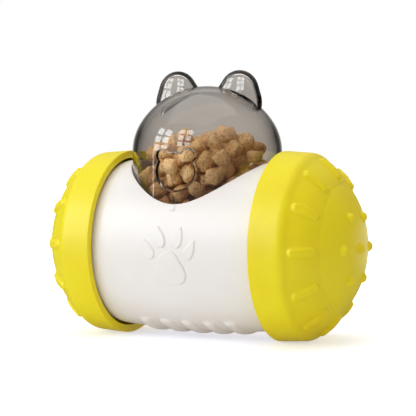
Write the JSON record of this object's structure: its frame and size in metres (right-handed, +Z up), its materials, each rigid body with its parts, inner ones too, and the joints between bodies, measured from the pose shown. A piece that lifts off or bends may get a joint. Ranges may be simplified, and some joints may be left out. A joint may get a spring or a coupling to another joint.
{
  "type": "treat dispensing wobble toy",
  "caption": "Treat-dispensing wobble toy: weighted barrel hung between two free-turning cup wheels, under a clear bear-eared twist-on dome with an outlet that drops treats as it rolls.",
  "frame": {"origin": "on the floor, under the middle of the barrel", "axes": "+X along the wheel axle to the right wheel, -Y to the front with the paw print and the treat outlet, +Z up"},
  "size_m": [0.1702, 0.095, 0.1356],
  "materials": {
    "barrel_plastic": "warm white moulded plastic with a satin surface",
    "cover_plastic": "white moulded plastic, plain inside surface",
    "wheel_plastic": "lemon yellow moulded plastic with a fine matte grain",
    "dome_plastic": "smoky grey clear plastic, polished",
    "weight_iron": "plain cast iron",
    "screw_steel": "zinc-plated steel",
    "treat_biscuit": "dry baked crumb, matte"
  },
  "bodies": {
    "barrel": {"barrel_shell": "barrel_plastic", "end_cover_left": "cover_plastic", "end_cover_right": "cover_plastic", "end_cover_screws_left": "screw_steel", "end_cover_screws_right": "screw_steel", "food_tray": "cover_plastic", "counterweight": "weight_iron", "weight_plate": "cover_plastic", "weight_screws": "screw_steel", "axle_washer_left": "screw_steel", "axle_washer_right": "screw_steel", "axle_screw_left": "screw_steel", "axle_screw_right": "screw_steel", "treats": "treat_biscuit"},
    "left_wheel": {"wheel_left": "wheel_plastic", "hub_cap_left": "wheel_plastic"},
    "right_wheel": {"wheel_right": "wheel_plastic", "hub_cap_right": "wheel_plastic"},
    "dome": {"bear_dome": "dome_plastic"}
  },
  "joints": [
    {"name": "left_wheel_spin", "type": "hinge", "parent": "barrel", "child": "left_wheel", "pos_m": [-0.06, 0, 0.0475], "axis": [1, 0, 0], "continuous": true},
    {"name": "right_wheel_spin", "type": "hinge", "parent": "barrel", "child": "right_wheel", "pos_m": [0.06, 0, 0.0475], "axis": [1, 0, 0], "continuous": true},
    {"name": "dome_twist", "type": "hinge", "parent": "barrel", "child": "dome", "pos_m": [0, 0, 0.09435], "axis": [0, 0, 1], "range_deg": [0, 100]}
  ]
}
